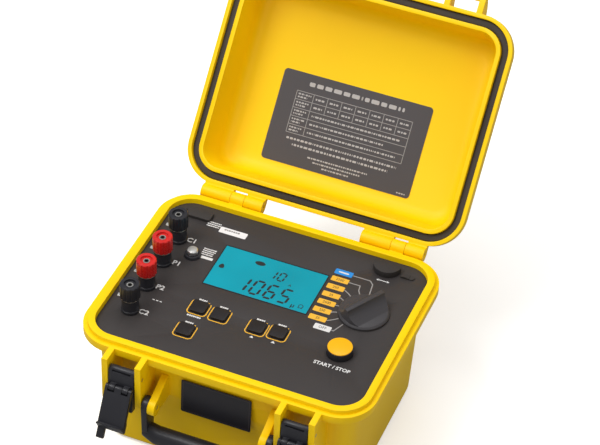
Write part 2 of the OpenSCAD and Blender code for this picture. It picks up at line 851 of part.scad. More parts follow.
// Carrying handle: two arms and a thick low grip
arm_gap = 0.3;
arm_r = 8;
grip_sag = 4;
arm_in = lug_x + lug_t / 2 + arm_gap;
grip_end = arm_in - lug_t;
module handle() color(dark) {
    for (s = [-1, 1]) {
        difference() {
            hull() {
                x_rod(s * (arm_in + arm_t / 2) - arm_t / 2, s * (arm_in + arm_t / 2) + arm_t / 2, arm_r, handle_y, handle_z);
                x_rod(s * (arm_in + arm_t / 2) - arm_t / 2, s * (arm_in + arm_t / 2) + arm_t / 2, arm_r - over,
                    handle_y, handle_z - handle_drop + arm_r);
            }
            x_rod(s * (arm_in + arm_t / 2) - arm_t, s * (arm_in + arm_t / 2) + arm_t, handle_pin_r + run_gap, handle_y, handle_z);
        }
        hull() {
            x_rod(s * (arm_in + arm_t / 2) - arm_t / 2, s * (arm_in + arm_t / 2) + arm_t / 2, arm_r - over,
                handle_y, handle_z - handle_drop + arm_r / 2);
            translate([s * grip_end, handle_y, handle_z - handle_drop])
                sphere(r = grip_r, $fn = 32);
        }
    }
    hull()
        for (s = [-1:0.25:1])
            translate([s * grip_end, handle_y, handle_z - handle_drop - (1 - s * s) * grip_sag])
                sphere(r = grip_r, $fn = 32);
}

module handle_pins() color("silver")
    for (s = [-1, 1])
        x_rod(s * (arm_in + arm_t / 2 - lug_t / 2) - (lug_t + arm_t) / 2, s * (arm_in + arm_t / 2 - lug_t / 2) + (lug_t + arm_t) / 2,
            handle_pin_r, handle_y, handle_z);

// Latches are drawn closed about the upper pin, then swung out by the rest angles
lever_y = latch_pin_y - 6.4;
lever_drop_z = 12;
lever_z = latch_pin_z - lever_drop_z;
lever_ear_r = 3;
link_top = 5;
link_slots = [0, 10.5];
slot_w = 17;
slot_h = 4;
slot_d = 2;
module link_swing()
    translate([0, latch_pin_y, latch_pin_z])
        rotate([-link_out, 0, 0])
            translate([0, -latch_pin_y, -latch_pin_z])
                children();

module latch_pins() color("silver")
    for (s = [-1, 1])
        x_rod(s * latch_x - (fin_pitch + fin_t) / 2, s * latch_x + (fin_pitch + fin_t) / 2, latch_pin_r, latch_pin_y, latch_pin_z);

ear_in_share = 0.32;
ear_out_share = 0.76;
module latch_link(s) color(dark) link_swing()
    difference() {
        union() {
            translate([s * latch_x - link_w / 2, latch_pin_y - link_t / 2, latch_pin_z - link_h])
                cube([link_w, link_t, link_h]);
            translate([s * latch_x - link_w / 2, latch_pin_y - link_t / 2, latch_pin_z - over])
                cube([link_w, link_t, link_top - link_t / 4 + over]);
            x_rod(s * latch_x - link_w / 2, s * latch_x + link_w / 2, link_t / 2, latch_pin_y, latch_pin_z + link_top - link_t / 4);
            for (e = [-1, 1])
                let (x0 = s * latch_x + e * link_w / 4 * (ear_in_share + ear_out_share) - link_w / 4 * (ear_out_share - ear_in_share)) {
                    x_rod(x0, x0 + link_w / 2 * (ear_out_share - ear_in_share), lever_ear_r, lever_y, lever_z);
                    translate([x0, lever_y, lever_z - lever_ear_r])
                        cube([link_w / 2 * (ear_out_share - ear_in_share), latch_pin_y - lever_y, 2 * lever_ear_r]);
                }
        }
        x_rod(s * latch_x - link_w, s * latch_x + link_w, latch_pin_r + run_gap, latch_pin_y, latch_pin_z);
        x_rod(s * latch_x - link_w, s * latch_x + link_w, lever_pin_r + fix_gap, lever_y, lever_z);
        for (d = link_slots)
            translate([s * latch_x - slot_w / 2, latch_pin_y - link_t / 2 - over, latch_pin_z + slot_h / 2 - d - (d > 0 ? link_h / 2 : 0)])
                cube([slot_w, slot_d + over, slot_h / 2]);
    }
module latch_link_left() latch_link(-1);
module latch_link_right() latch_link(1);

module lever_pin(s) color("silver") link_swing()
    x_rod(s * latch_x - lever_w / 2 + over, s * latch_x + lever_w / 2 - over, lever_pin_r, lever_y, lever_z);
module lever_pin_left() lever_pin(-1);
module lever_pin_right() lever_pin(1);

// Hook lever: [along, inward] outline from its pin to the nose that takes the catch bar
nose_at = base_h + catch_up + catch_r + side_gap - lever_z;
nose_in = 4.4;
lever_len = nose_at + 6;
lever_back = 2;
heel = 0.4;
tab_w = 6.5;
tab_len = 11;
ear_room = 0.6;
lever_turn = 180 - (90 - lever_drop) + link_out;
module lever_outline() {
    circle(r = lever_t / 2);
    polygon([[-lever_t / 2, 0], [lever_t / 2, 0], [lever_t / 2, nose_at], [lever_t / 2 + nose_in, nose_at],
        [lever_t / 2 + nose_in, nose_at + heel], [-lever_t / 4, lever_len], [-lever_t / 2 - lever_back, lever_len],
        [-lever_t / 2 - lever_back, nose_at - lever_back], [-lever_t / 2, nose_at - 3 * lever_back]]);
}

module latch_lever(s) color(dark)
    translate([s * latch_x, 0, 0])
        link_swing()
            translate([0, lever_y, lever_z])
                rotate([lever_turn, 0, 0])
                    difference() {
                        union() {
                            translate([-lever_w / 2, 0, 0])
                                rotate([90, 0, 90])
                                    linear_extrude(lever_w)
                                        lever_outline();
                            translate([-lever_w / 2, -lever_t / 2 - lever_back, lever_len - over])
                                cube([tab_w, lever_t - over, tab_len + over - tab_w / 4]);
                            translate([-lever_w / 2, lever_t / 2 - lever_back - lever_t / 2 - over / 2, lever_len + tab_len - tab_w / 2])
                                x_rod(0, tab_w, lever_t / 2 - over / 2, 0, 0);
                        }
                        translate([-lever_w, 0, 0])
                            x_rod(0, 2 * lever_w, lever_pin_r + run_gap, 0, 0);
                        for (e = [-1, 1])
                            let (mid = e * link_w / 4 * (ear_in_share + ear_out_share), half = link_w / 4 * (ear_out_share - ear_in_share) + ear_room)
                                translate([mid - half, -lever_t, -lever_t])
                                    cube([2 * half, 2 * lever_t, lever_t + lever_ear_r + ear_room]);
                    }
module latch_lever_left() latch_lever(-1);
module latch_lever_right() latch_lever(1);

base_shell();
lid_shell();
lid_gasket();
hinge_pins();
case_feet();
case_screws();
front_panel();
display_window();
display_module();
main_board();
keypad_mat();
battery_tray();
battery_pack();
selector_knob();
selector_shaft();
rotary_switch();
start_button();
start_disc();
start_switch();
key_1();
key_2();
key_3();
key_4();
key_5();
post_c1();
post_p1();
post_p2();
post_c2();
collar_c1();
collar_p1();
collar_p2();
collar_c2();
washer_c1();
washer_p1();
washer_p2();
washer_c2();
cap_c1();
cap_p1();
cap_p2();
cap_c2();
terminal_nuts();
fuse_holder();
fuse_cap();
fuse_cartridge();
charging_socket();
charging_cap();
data_socket();
data_cap();
cap_anchors();
handle();
handle_pins();
latch_pins();
latch_link_left();
latch_link_right();
lever_pin_left();
lever_pin_right();
latch_lever_left();
latch_lever_right();
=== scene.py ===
import math
import random
import bmesh
import bpy
from mathutils import Matrix, Vector


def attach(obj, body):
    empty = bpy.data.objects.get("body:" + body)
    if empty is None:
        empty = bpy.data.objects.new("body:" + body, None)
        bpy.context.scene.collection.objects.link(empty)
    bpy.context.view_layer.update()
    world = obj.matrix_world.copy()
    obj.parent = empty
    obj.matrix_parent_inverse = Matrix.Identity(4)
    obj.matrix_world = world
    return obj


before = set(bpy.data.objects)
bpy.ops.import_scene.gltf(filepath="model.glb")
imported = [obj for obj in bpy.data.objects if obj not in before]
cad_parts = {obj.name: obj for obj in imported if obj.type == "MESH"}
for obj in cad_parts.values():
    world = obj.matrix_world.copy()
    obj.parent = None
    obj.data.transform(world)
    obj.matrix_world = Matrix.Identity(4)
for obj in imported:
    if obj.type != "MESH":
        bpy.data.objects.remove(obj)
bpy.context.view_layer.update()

MM = 0.001
random.seed(7)
scene = bpy.context.scene

# Shader sums


class Val:
    """A socket that can be used in sums."""

    def __init__(self, mat, socket):
        self.mat, self.socket = mat, socket

    def _sum(self, operation, other, swap=False):
        pair = (other, self) if swap else (self, other)
        return self.mat.node("ShaderNodeMath", {"operation": operation}, {0: pair[0], 1: pair[1]})

    def __add__(self, other):
        return self._sum("ADD", other)

    def __radd__(self, other):
        return self._sum("ADD", other, True)

    def __sub__(self, other):
        return self._sum("SUBTRACT", other)

    def __rsub__(self, other):
        return self._sum("SUBTRACT", other, True)

    def __mul__(self, other):
        return self._sum("MULTIPLY", other)

    def __rmul__(self, other):
        return self._sum("MULTIPLY", other, True)


class Finish:
    """A node material with a Principled shader."""

    def __init__(self, name):
        self.material = bpy.data.materials.new(name)
        self.material.use_nodes = True
        self.tree = self.material.node_tree
        self.shader = self.tree.nodes["Principled BSDF"]

    def node(self, kind, settings=None, inputs=None, out=0):
        made = self.tree.nodes.new(kind)
        for key, value in (settings or {}).items():
            if key == "stops":
                ramp = made.color_ramp
                while len(ramp.elements) < len(value):
                    ramp.elements.new(0.5)
                for element, (at, colour) in zip(ramp.elements, value):
                    element.position, element.color = at, colour
            else:
                setattr(made, key, value)
        for key, value in (inputs or {}).items():
            self.plug(made.inputs[key], value)
        return Val(self, made.outputs[out])

    def plug(self, socket, value):
        if isinstance(value, Val):
            self.tree.links.new(value.socket, socket)
        else:
            socket.default_value = value

    def place(self):
        return self.node("ShaderNodeTexCoord", out=3)

    def noise(self, scale, detail=2.0, rough=0.5):
        return self.node("ShaderNodeTexNoise", {}, {"Vector": self.place(), "Scale": scale, "Detail": detail,
                                                    "Roughness": rough})

    def ramp(self, factor, *stops):
        grey = [(at, (v, v, v, 1)) for at, v in stops]
        return self.node("ShaderNodeValToRGB", {"stops": grey}, {"Fac": factor})

    def mix(self, factor, a, b):
        return self.node("ShaderNodeMix", {"data_type": "RGBA"}, {0: factor, 6: a, 7: b}, out=2)

    def bump(self, height, strength, distance=0.0002):
        return self.node("ShaderNodeBump", {}, {"Height": height, "Strength": strength, "Distance": distance})

    def set(self, **values):
        names = {"color": "Base Color", "rough": "Roughness", "metal": "Metallic", "normal": "Normal",
                 "coat": "Coat Weight", "coat_rough": "Coat Roughness", "specular": "Specular IOR Level",
                 "glow": "Emission Color", "glow_strength": "Emission Strength"}
        for key, value in values.items():
            self.plug(self.shader.inputs[names[key]], value)
        return self.material


def rgb(r, g, b):
    """A colour as a screen shows it, in 0 to 255, to linear light."""
    def linear(c):
        c /= 255
        return c / 12.92 if c <= 0.04045 else ((c + 0.055) / 1.055) ** 2.4
    return (linear(r), linear(g), linear(b), 1.0)


def moulded(name, colour, shade, rough, grain, depth, coat=0.0, mottle=6.0, specular=0.28):
    """Moulded plastic: slow colour drift, a fine grain in the relief and in the gloss."""
    f = Finish(name)
    drift = f.ramp(f.noise(mottle, 3.0), (0.3, 0.0), (0.7, 1.0))
    fine = f.noise(grain, 3.0, 0.6)
    return f.set(color=f.mix(drift, colour, shade), rough=rough + (fine - 0.5) * 0.12, coat=coat,
                 coat_rough=0.2, specular=specular, normal=f.bump(fine, depth))


def metal(name, colour, rough, grain=400.0, depth=0.1):
    f = Finish(name)
    streak = f.noise(grain, 2.0)
    cloud = f.noise(60.0, 2.0)
    shade = tuple(0.72 * c for c in colour[:3]) + (1.0,)
    return f.set(color=f.mix(f.ramp(cloud, (0.35, 0.0), (0.7, 1.0)), colour, shade), metal=1.0,
                 rough=rough + (streak - 0.5) * 0.15, normal=f.bump(streak, depth, 0.00005))


def ink(name, colour, rough=0.5):
    """Printing on the panel: slightly uneven ink."""
    f = Finish(name)
    grain = f.noise(900.0, 2.0)
    shade = tuple(0.9 * c for c in colour[:3]) + (1.0,)
    return f.set(color=f.mix(grain, colour, shade), rough=rough + (grain - 0.5) * 0.1)


case_yellow = moulded("case_yellow", rgb(255, 213, 0), rgb(252, 205, 0), 0.42, 700.0, 0.08, specular=0.2)
panel_dark = moulded("panel_dark", rgb(60, 56, 55), rgb(54, 50, 50), 0.5, 1500.0, 0.25)
knob_plastic = moulded("knob_plastic", rgb(70, 68, 70), rgb(62, 60, 63), 0.4, 900.0, 0.1)
dark_plastic = moulded("dark_plastic", rgb(42, 42, 47), rgb(34, 34, 39), 0.38, 900.0, 0.12, coat=0.1)
key_plastic = moulded("key_plastic", rgb(34, 30, 31), rgb(28, 25, 26), 0.45, 900.0, 0.12)
rubber = moulded("rubber", rgb(58, 54, 52), rgb(48, 45, 44), 0.62, 1200.0, 0.2)
gasket_rubber = moulded("gasket_rubber", rgb(72, 66, 60), rgb(58, 53, 50), 0.6, 1200.0, 0.2)
red_plastic = moulded("red_plastic", rgb(216, 34, 28), rgb(196, 26, 24), 0.28, 700.0, 0.05, coat=0.4)
start_yellow = moulded("start_yellow", rgb(252, 186, 0), rgb(248, 176, 0), 0.35, 600.0, 0.04, coat=0.2)
board_green = moulded("board_green", rgb(24, 92, 46), rgb(18, 76, 40), 0.4, 300.0, 0.1)
sleeve_blue = moulded("sleeve_blue", rgb(30, 70, 140), rgb(24, 60, 124), 0.3, 200.0, 0.1)
ceramic = moulded("ceramic", rgb(232, 230, 220), rgb(222, 220, 208), 0.25, 300.0, 0.02)
plate_dark = moulded("plate_dark", rgb(30, 29, 36), rgb(26, 25, 31), 0.34, 900.0, 0.05, coat=0.2)
label_dark = moulded("label_dark", rgb(78, 74, 76), rgb(72, 69, 71), 0.5, 900.0, 0.05)
steel = metal("steel", (0.62, 0.61, 0.58, 1), 0.3)
silver = metal("silver", (0.8, 0.8, 0.78, 1), 0.34)
washer_metal = metal("washer_metal", (0.72, 0.68, 0.6, 1), 0.36)
ink_white = ink("ink_white", rgb(226, 224, 222))
ink_grey = ink("ink_grey", rgb(150, 146, 144))
ink_gold = ink("ink_gold", rgb(244, 184, 50))
ink_blue = ink("ink_blue", rgb(22, 140, 222))
ink_label = ink("ink_label", rgb(178, 174, 172))
ink_black = ink("ink_black", rgb(12, 28, 34))
sticker_white = ink("sticker_white", rgb(240, 238, 238), 0.4)


def glass_finish():
    f = Finish("display_glass")
    cloud = f.ramp(f.noise(14.0, 2.0), (0.3, 0.0), (0.75, 1.0))
    fine = f.noise(2200.0, 1.0)
    return f.set(color=f.mix(cloud, rgb(0, 144, 162), rgb(0, 160, 180)), rough=0.3 + (fine - 0.5) * 0.06,
                 coat=0.0, specular=0.25, normal=f.bump(fine, 0.03, 0.00005))


display_glass = glass_finish()

finish_of = {}
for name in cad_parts:
    finish_of[name] = dark_plastic
finish_of.update(base_shell=case_yellow, lid_shell=case_yellow, front_panel=panel_dark,
                 display_window=display_glass, start_disc=start_yellow, selector_knob=knob_plastic,
                 cap_p1=red_plastic, cap_p2=red_plastic, lid_gasket=gasket_rubber,
                 case_feet=rubber, keypad_mat=rubber, charging_cap=rubber, data_cap=rubber, cap_anchors=rubber,
                 fuse_cap=silver, main_board=board_green, display_module=board_green, battery_pack=sleeve_blue,
                 fuse_cartridge=ceramic, data_socket=steel, terminal_nuts=steel, selector_shaft=steel,
                 hinge_pins=steel, case_screws=steel, handle_pins=steel, latch_pins=steel)
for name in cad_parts:
    if name.startswith(("post_", "lever_pin_")):
        finish_of[name] = steel
    elif name.startswith("washer_"):
        finish_of[name] = washer_metal
    elif name.startswith("key_"):
        finish_of[name] = key_plastic

# Edge rounding of each solid, in mm
round_of = {"base_shell": 0.9, "lid_shell": 0.9, "lid_gasket": 1.1, "front_panel": 0.2, "selector_knob": 0.7,
            "handle": 0.9, "start_button": 0.3, "start_disc": 0.25, "charging_cap": 0.6, "data_cap": 0.9,
            "fuse_holder": 0.4, "fuse_cap": 0.3}
for side in ("left", "right"):
    round_of["latch_link_" + side] = 0.6
    round_of["latch_lever_" + side] = 0.7
for k in range(1, 6):
    round_of["key_%d" % k] = 0.6
for t in ("c1", "p1", "p2", "c2"):
    round_of["cap_" + t] = 0.3
    round_of["collar_" + t] = 0.4


def soften(obj, width):
    weld = obj.modifiers.new("weld", "WELD")
    weld.merge_threshold = 0.00001
    if width >= 0.85:
        flat = obj.modifiers.new("flat", "DECIMATE")
        flat.decimate_type = "DISSOLVE"
        flat.angle_limit = math.radians(0.4)
    bevel = obj.modifiers.new("round", "BEVEL")
    bevel.width = width * MM
    bevel.segments = 3
    bevel.limit_method = "ANGLE"
    bevel.angle_limit = math.radians(38)
    bevel.harden_normals = True
    bevel.miter_outer = "MITER_ARC"
    smooth(obj)


def smooth(obj):
    for polygon in obj.data.polygons:
        polygon.use_smooth = True


def node_object(name):
    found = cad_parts[name]
    return found if isinstance(found, bpy.types.Object) else bpy.data.objects[name]


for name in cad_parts:
    obj = node_object(name)
    obj.data.materials.clear()
    obj.data.materials.append(finish_of[name])
    if name in round_of:
        soften(obj, round_of[name])

# Places shared with the solids, in mm
PANEL = 129.0
HINGE_Y, HINGE_Z = 114.3, 130.0
LID_OPEN = math.radians(131.2)
SKIN = 0.12
KNOB = (85.8, 22.2)
KEYS = ((-47.9, -30.2), (-27.6, -31.4), (-47.6, -60.6), (7.9, -32.6), (27.4, -31.2))
POST_X = -101.5
POST_Y = (44.5, 11.0, -22.5, -56.0)
opened = Matrix.Translation((0, HINGE_Y * MM, HINGE_Z * MM)) @ Matrix.Rotation(-LID_OPEN, 4, "X") \
    @ Matrix.Translation((0, -HINGE_Y * MM, -HINGE_Z * MM))


def piece(name, mesh_maker, finish, body, transform=None, soft=0.0):
    """A mesh from mesh_maker(bm), in mm, made into a piece that rides on a body."""
    bm = bmesh.new()
    mesh_maker(bm)
    bmesh.ops.remove_doubles(bm, verts=bm.verts, dist=0.0005)
    bmesh.ops.recalc_face_normals(bm, faces=bm.faces)
    bmesh.ops.scale(bm, vec=(MM, MM, MM), verts=bm.verts)
    mesh = bpy.data.meshes.new(name)
    bm.to_mesh(mesh)
    bm.free()
    if transform is not None:
        mesh.transform(transform)
    obj = bpy.data.objects.new(name, mesh)
    scene.collection.objects.link(obj)
    mesh.materials.append(finish)
    if soft:
        bevel = obj.modifiers.new("round", "BEVEL")
        bevel.width = soft * MM
        bevel.segments = 3
        bevel.limit_method = "ANGLE"
        bevel.angle_limit = math.radians(38)
        bevel.harden_normals = True
        smooth(obj)
    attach(obj, body)
    return obj


def prism(bm, outline, z0, z1):
    """A solid over a flat outline, from z0 to z1."""
    low = [bm.verts.new((x, y, z0)) for x, y in outline]
    high = [bm.verts.new((x, y, z1)) for x, y in outline]
    bm.faces.new(list(reversed(low)))
    bm.faces.new(high)
    n = len(outline)
    for i in range(n):
        bm.faces.new((low[i], low[(i + 1) % n], high[(i + 1) % n], high[i]))


def ring_prism(bm, outer, inner, z0, z1):
    """A closed band between two outlines of as many points."""
    n = len(outer)
    sides = ((outer, z0), (outer, z1), (inner, z1), (inner, z0))
    rows = [[bm.verts.new((x, y, z)) for x, y in line] for line, z in sides]
    for a in range(4):
        b = (a + 1) % 4
        for i in range(n):
            j = (i + 1) % n
            bm.faces.new((rows[a][i], rows[a][j], rows[b][j], rows[b][i]))


def round_rect(cx, cy, w, h, r, steps=5):
    points = []
    for sx, sy, start in ((1, 1, 0), (-1, 1, 90), (-1, -1, 180), (1, -1, 270)):
        for i in range(steps + 1):
            a = math.radians(start + 90 * i / steps)
            points.append((cx + sx * (w / 2 - r) + r * math.cos(a), cy + sy * (h / 2 - r) + r * math.sin(a)))
    return points


def strip(bm, points, width, z0, z1, closed=False):
    """A flat line of one width along points, mitred at its bends."""
    n = len(points)
    left, right = [], []
    for i, p in enumerate(points):
        a = points[(i - 1) % n] if closed or i > 0 else None
        b = points[(i + 1) % n] if closed or i < n - 1 else None
        before = (Vector(p) - Vector(a)).normalized() if a is not None else None
        after = (Vector(b) - Vector(p)).normalized() if b is not None else None
        along = before if after is None else after if before is None else (before + after).normalized()
        side = Vector((-along.y, along.x))
        reach = width / 2 / max(0.5, abs(along.dot(after if after is not None else before)))
        left.append((p[0] + side.x * reach, p[1] + side.y * reach))
        right.append((p[0] - side.x * reach, p[1] - side.y * reach))
    if closed:
        ring_prism(bm, right, left, z0, z1)
    else:
        prism(bm, right + left[::-1], z0, z1)


def words(name, text, size, at, finish, body, turn=0.0, transform=None, wide=1.0,
          bold=0.0, centre=True):
    """Generic lettering as a thin raised print."""
    curve = bpy.data.curves.new(name, "FONT")
    curve.body = text
    curve.size = size * MM
    curve.extrude = 0.04 * MM
    curve.offset = bold * MM
    curve.align_x = "CENTER" if centre else "LEFT"
    curve.align_y = "CENTER"
    curve.resolution_u = 3
    made = bpy.data.objects.new(name + "_line", curve)
    scene.collection.objects.link(made)
    bpy.context.view_layer.update()
    mesh = bpy.data.meshes.new_from_object(made.evaluated_get(bpy.context.evaluated_depsgraph_get()))
    bpy.data.objects.remove(made)
    mesh.materials.clear()
    mesh.materials.append(finish)
    mesh.transform(Matrix.Translation((at[0] * MM, at[1] * MM, at[2] * MM)) @ Matrix.Rotation(math.radians(turn), 4, "Z")
                   @ Matrix.Diagonal((wide, 1, 1, 1)))
    if transform is not None:
        mesh.transform(transform)
    obj = bpy.data.objects.new(name, mesh)
    scene.collection.objects.link(obj)
    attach(obj, body)
    return obj


def on_panel(name, maker, finish, z=PANEL, thick=SKIN, soft=0.0):
    return piece(name, lambda bm: maker(bm, z - 0.02, z + thick), finish, "case", soft=soft)


# Range tags beside the display, and the lines from them to the selector
TAG_X, TAG_W, TAG_H = 51.0, 16.2, 6.3
TAG_Y = [53.7 - 10.6 * i for i in range(6)]
on_panel("tag_blue", lambda bm, a, b: prism(bm, round_rect(50.9, 63.4, 16.6, 6.7, 0.9), a, b), ink_blue)


def range_tags(bm, a, b):
    for y in TAG_Y:
        prism(bm, round_rect(TAG_X, y, TAG_W, TAG_H, 0.9), a, b)


on_panel("tags_gold", range_tags, ink_gold)
on_panel("tag_off", lambda bm, a, b: prism(bm, round_rect(59.4, -8.9, 15.6, 6.7, 0.9), a, b), ink_white)
for i, text in enumerate(("2500", "250", "25", "2500", "250", "25")):
    words("tag_number_%d" % (i + 1), text, 4.2, (TAG_X, TAG_Y[i], PANEL + SKIN), ink_black, "case",
          wide=0.9)
words("tag_off_word", "OFF", 4.2, (59.4, -8.9, PANEL + SKIN), ink_black, "case")
on_panel("tag_blue_bar", lambda bm, a, b: prism(bm, round_rect(50.9, 63.4, 9.5, 1.6, 0.5), a, b), ink_white, z=PANEL + SKIN,
         thick=0.06)


def at_knob(angle, r):
    a = math.radians(angle)
    return (KNOB[0] + r * math.cos(a), KNOB[1] + r * math.sin(a))


def leader_lines(bm, a, b):
    starts = [(59.5, 63.4)] + [(TAG_X + TAG_W / 2 + 0.3, y) for y in TAG_Y] + [(67.6, -8.9)]
    for i, start in enumerate(starts):
        angle = 100 + 20 * i
        end = at_knob(angle, 23.3)
        bend = at_knob(angle, 29.5 if i in (1, 6) else 28 if i in (2, 5) else 33)
        if i in (3, 4):
            line = [start, end]
        elif i == 0:
            line = [start, (76.0, start[1]), (79.6, 59.6), end]
        elif i == 7:
            line = [start, (69.6, start[1]), end]
        else:
            line = [start, bend, end]
            if i == 1:
                line.insert(1, (max(start[0] + 1.5, bend[0] - 1.0), start[1]))
        strip(bm, line, 1.0, a, b)


on_panel("leader_lines", leader_lines, ink_grey)

# Gold frames round the keys, open at the middle of their upper side
def key_frames(bm, a, b):
    for cx, cy in KEYS:
        line = [p for p in round_rect(cx, cy, 17.6, 17.6, 3.4, 5)]
        cut = 2
        line = line[6 - cut:] + line[:cut + 1]
        strip(bm, line[0:], 1.0, a, b)


on_panel("key_frames", key_frames, ink_gold)


def key_words(bm, a, b):
    for cx, cy in KEYS:
        x = cx - 4.4
        for w in (2.6, 1.7, 2.2, 1.4):
            prism(bm, round_rect(x + w / 2, cy + 10.4, w - 0.35, 1.9, 0.3, 2), a, b)
            x += w
    for cx, cy in KEYS[3:]:
        prism(bm, [(cx - 1.9, cy - 13.0), (cx + 1.9, cy - 13.0), (cx, cy - 10.4)], a, b)
    x = KEYS[0][0] - 6.6
    for w in (2.4, 1.8, 1.6, 2.2, 1.2, 2.6, 1.5):
        prism(bm, round_rect(x + w / 2, KEYS[0][1] - 11.4, w - 0.35, 1.9, 0.3, 2), a, b)
        x += w


on_panel("key_marks", key_words, ink_white)

# Terminal marks, start words, signs and short lines of print
for text, y, t in (("C1", 47.1, 1), ("P1", 14.4, 2), ("P2", -20.2, 3), ("C2", -54.6, 4)):
    words("mark_" + text, text, 7.6, (-89.6, y, PANEL + 0.05), ink_white, "case",
          bold=0.2, wide=1.05)
words("start_word", "START / STOP", 5.4, (84.6, -50.2, PANEL + 0.05), ink_white, "case",
      bold=0.14)


def small_print(bm, a, b):
    rng = random.Random(11)
    for x0, y0, lines, w in ((-86.5, 77.5, 3, 13.5), (-75.6, 42.9, 4, 12.5)):
        for i in range(lines):
            x = x0
            while x < x0 + w - 1.2:
                d = rng.uniform(1.0, 2.6)
                d = min(d, x0 + w - x)
                prism(bm, round_rect(x + d / 2, y0 - 2.5 * i, d - 0.3, 1.3, 0.2, 2), a, b)
                x += d
    prism(bm, round_rect(-68.5, 31.4, 12.5, 3.2, 0.4, 2), a, b)
    # current and potential sign beside the lower post
    for i in range(3):
        prism(bm, round_rect(-88.5 + 3.4 * i, -36.5, 2.2, 0.9, 0.2, 2), a, b)
    # plain double arrow below the data socket
    strip(bm, [(81.8, 68.0), (90.2, 68.0)], 0.8, a, b)
    prism(bm, [(82.2, 66.7), (82.2, 69.3), (79.8, 68.0)], a, b)
    prism(bm, [(89.8, 66.7), (92.2, 68.0), (89.8, 69.3)], a, b)


on_panel("small_print", small_print, ink_white)
on_panel("sticker", lambda bm, a, b: prism(bm, round_rect(-59.9, 71.9, 26.2, 7.6, 1.0), a, b), sticker_white,
         thick=0.18)


def sticker_bars(bm, a, b):
    x = -69.0
    for w in (2.2, 1.6, 2.8, 1.9, 2.4, 1.7, 2.6):
        prism(bm, round_rect(x + w / 2, 73.0, w - 0.4, 1.9, 0.3, 2), a, b)
        x += w


on_panel("sticker_bars", sticker_bars, ink_grey, z=PANEL + 0.18, thick=0.05)

# Display content: plain seven-bar figures
GLASS = PANEL
SEGMENTS = {"0": "abcdef", "1": "bc", "5": "acdfg", "6": "acdefg"}


def figure(bm, digit, x, y, w, h, t, a, b):
    """One seven-bar figure with its lower left corner at x, y, leaning a little."""
    lean = 0.12
    def p(px, py):
        return (x + px + lean * py, y + py)
    bars = {"a": ((0, h), (w, h)), "g": ((0, h / 2), (w, h / 2)), "d": ((0, 0), (w, 0)), "f": ((0, h / 2), (0, h)),
            "e": ((0, 0), (0, h / 2)), "b": ((w, h / 2), (w, h)), "c": ((w, 0), (w, h / 2))}
    for key in SEGMENTS[digit]:
        (x0, y0), (x1, y1) = bars[key]
        along = Vector((x1 - x0, y1 - y0)).normalized()
        side = Vector((-along.y, along.x)) * t / 2
        s, e = Vector((x0, y0)) + along * 0.25 * t, Vector((x1, y1)) - along * 0.25 * t
        ring = [s, s + along * t / 2 + side, e - along * t / 2 + side, e, e - along * t / 2 - side,
                s + along * t / 2 - side]
        prism(bm, [p(q.x, q.y) for q in reversed(ring)], a, b)


def display_figures(bm, a, b):
    for i, digit in enumerate("1065"):
        figure(bm, digit, -30.5 + 13.4 * i, 5.6, 8.0, 17.5, 2.2, a, b)
    for i, digit in enumerate("10"):
        figure(bm, digit, -9.0 + 8.6 * i, 30.6, 5.2, 10.5, 1.5, a, b)
    turns = [t * math.pi / 14 for t in range(28)]
    prism(bm, [(-21.6 + 4.9 * math.cos(t), 44.6 + 2.6 * math.sin(t)) for t in turns], a, b)
    prism(bm, [(-51.8 + 2.1 * math.sin(t * math.pi / 9) * (1.15 - 0.35 * math.cos(t * math.pi / 9) if t else 1),
                27.5 + (-2.6 if 5 <= t <= 13 else 3.4) * abs(math.cos(t * math.pi / 9))) for t in range(18, 0, -1)], a, b)


on_panel("display_figures", display_figures, ink_black, z=GLASS, thick=0.06)
words("display_unit", "Ω", 7.0, (32.2, 7.4, GLASS + 0.04), ink_black, "case")
words("display_prefix", "μ", 7.5, (25.0, 6.2, GLASS + 0.04), ink_black, "case", bold=0.1)
words("display_amp", "A", 4.2, (13.2, 28.6, GLASS + 0.04), ink_black, "case")


# Painted shadow round the display glass: a dark line standing in for the shade along the edge of the recessed
# glass
def display_shadow_line(bm, a, b):
    ring_prism(bm, round_rect(-9.2, 27.6, 99.6, 55.1, 0.8, 3), round_rect(-9.2, 27.6, 97.9, 53.4, 0.4, 3), a, b)


# dark ring of painted shadow at the glass's edge, not a real frame
on_panel("display_shadow_line", display_shadow_line, key_plastic, thick=0.25)

# Pointer mark of the selector, raised on the disc's edge
turned = Matrix.Translation((KNOB[0] * MM, KNOB[1] * MM, 0)) @ Matrix.Rotation(math.radians(240), 4, "Z")
piece("pointer_mark", lambda bm: ring_prism(bm, round_rect(18.3, 0, 3.6, 2.4, 0.3, 2), round_rect(18.3, 0, 2.8, 1.6, 0.2, 2),
                                            PANEL + 3.2, PANEL + 3.75), ink_grey, "selector", turned)


# Label in the lid's roof, drawn as it lies with the lid closed and then opened
ROOF = 176.0


def in_lid(name, maker, finish, low, high):
    return piece(name, lambda bm: maker(bm, low, high), finish, "lid", opened)


def lid_y(v):
    return 106.5 - v


in_lid("lid_label", lambda bm, a, b: prism(bm, round_rect(-4.5, lid_y(78.5), 147, 86.5, 3.5), a, b), label_dark,
       ROOF - 0.45, ROOF + 0.1)
TABLE_X, TABLE_V = (-61.0, 53.3), (64.6, 104.2)
ROWS = 5
COLUMN = -44.0
row_v = [TABLE_V[0] + (TABLE_V[1] - TABLE_V[0]) * i / ROWS for i in range(ROWS + 1)]
column_x = [COLUMN + (TABLE_X[1] - COLUMN) * i / 7 for i in range(8)]


def label_lines(bm, a, b):
    for v in row_v:
        prism(bm, [(TABLE_X[0], lid_y(v) - 0.3), (TABLE_X[1], lid_y(v) - 0.3), (TABLE_X[1], lid_y(v) + 0.3),
                   (TABLE_X[0], lid_y(v) + 0.3)], a, b)
    for i, x in enumerate([TABLE_X[0]] + column_x):
        low = TABLE_V[0] if i in (0, 1, 8) else row_v[3]
        near, far = lid_y(TABLE_V[1]), lid_y(low)
        prism(bm, [(x - 0.3, near), (x + 0.3, near), (x + 0.3, far), (x - 0.3, far)], a, b)


